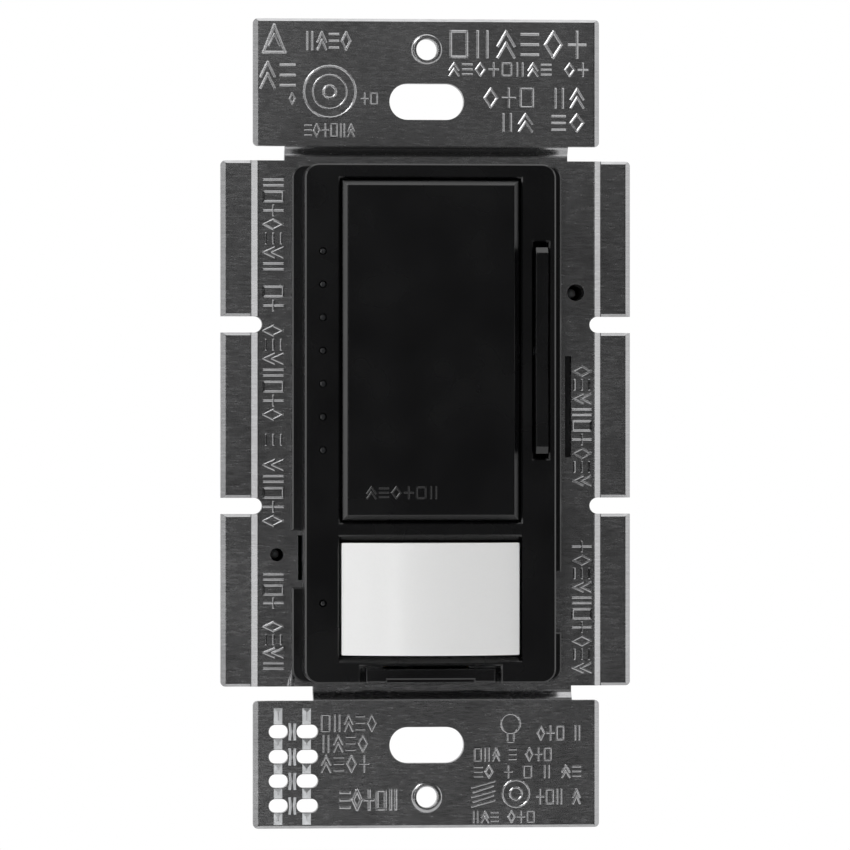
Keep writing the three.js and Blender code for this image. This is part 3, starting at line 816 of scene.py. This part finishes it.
def studio_floor():
    bm = bmesh.new()
    bmesh.ops.create_circle(bm, cap_ends=True, segments=96, radius=0.45)
    bmesh.ops.translate(bm, verts=bm.verts, vec=(0, 0, -0.16))
    floor = new_object("floor", bm)
    paper = Surface("paper", (0.9, 0.9, 0.9), 0.8)
    grain = paper.noise((40, 40, 40), 2)
    paper.tint(grain, 0.99, 1.01)
    floor.data.materials.append(paper.material)


def panel(name, place_at, aim, width, height, power, color=(1, 1, 1)):
    light = bpy.data.lights.new(name, "AREA")
    light.shape = "RECTANGLE"
    light.size = width
    light.size_y = height
    light.energy = power
    light.color = color
    obj = bpy.data.objects.new(name, light)
    obj.location = place_at
    obj.rotation_euler = (Vector(aim) - Vector(place_at)).to_track_quat("-Z", "Y").to_euler()
    bpy.context.scene.collection.objects.link(obj)
    return obj


TENT = ((0.0, 0.062), (0.12, 0.048), (0.3, 0.22), (0.5, 0.8))


def surroundings():
    """White behind the object as the camera sees it. Reflections see a tent: dim in front and
    white behind, by (place from front to back, level) stops."""
    world = bpy.data.worlds.new("studio")
    world.use_nodes = True
    tree = world.node_tree
    tree.nodes.clear()
    toward = tree.nodes.new("ShaderNodeTexCoord")
    split = tree.nodes.new("ShaderNodeSeparateXYZ")
    depth = tree.nodes.new("ShaderNodeMapRange")
    depth.inputs["From Min"].default_value = -1
    ramp = tree.nodes.new("ShaderNodeValToRGB")
    stops = ramp.color_ramp.elements
    while len(stops) < len(TENT):
        stops.new(0.5)
    for stop, (position, level) in zip(stops, TENT):
        stop.position = position
        stop.color = (level, level, level, 1)
    path_kind = tree.nodes.new("ShaderNodeLightPath")
    mix = tree.nodes.new("ShaderNodeMixShader")
    tent = tree.nodes.new("ShaderNodeBackground")
    white = tree.nodes.new("ShaderNodeBackground")
    white.inputs["Color"].default_value = (1, 1, 1, 1)
    output = tree.nodes.new("ShaderNodeOutputWorld")
    tree.links.new(toward.outputs["Generated"], split.inputs["Vector"])
    tree.links.new(split.outputs["Y"], depth.inputs["Value"])
    tree.links.new(depth.outputs["Result"], ramp.inputs["Fac"])
    tree.links.new(ramp.outputs["Color"], tent.inputs["Color"])
    tree.links.new(path_kind.outputs["Is Camera Ray"], mix.inputs["Fac"])
    tree.links.new(tent.outputs["Background"], mix.inputs[1])
    tree.links.new(white.outputs["Background"], mix.inputs[2])
    tree.links.new(mix.outputs["Shader"], output.inputs["Surface"])
    bpy.context.scene.world = world


def camera():
    data = bpy.data.cameras.new("camera")
    data.sensor_width = 36
    data.lens = 36 * DISTANCE / FIELD
    obj = bpy.data.objects.new("camera", data)
    aim = Vector((-0.0001, 0, -0.0002))
    spot = aim + DISTANCE * Vector((math.sin(YAW), -math.cos(YAW), 0))
    obj.location = spot
    obj.rotation_euler = (aim - spot).to_track_quat("-Z", "Y").to_euler()
    bpy.context.scene.collection.objects.link(obj)
    bpy.context.scene.camera = obj


studio_floor()
surroundings()
panel("left_softbox", (-0.5, -0.06, 0.02), (0, 0, 0), 0.34, 0.6, 0.9)
panel("right_softbox", (0.5, -0.06, 0.02), (0, 0, 0), 0.34, 0.6, 0.6)
panel("top_softbox", (0, -0.06, 0.5), (0, 0, 0), 0.6, 0.34, 0.8)
panel("key", (-0.5, -0.5, 0.6), (0, 0, 0), 0.35, 0.35, 3.3)
panel("strip", (-0.27, -0.92, 0), (0, 0, 0), 0.07, 0.6, 0.45)
panel("high_front", (0, -1.2, 0.36), (0, 0, 0), 0.8, 0.3, 0.25)
panel("back", (0.2, 0.7, 0.5), (0, 0, 0), 0.6, 0.4, 2.0)
camera()
bpy.context.scene.view_settings.view_transform = "Standard"
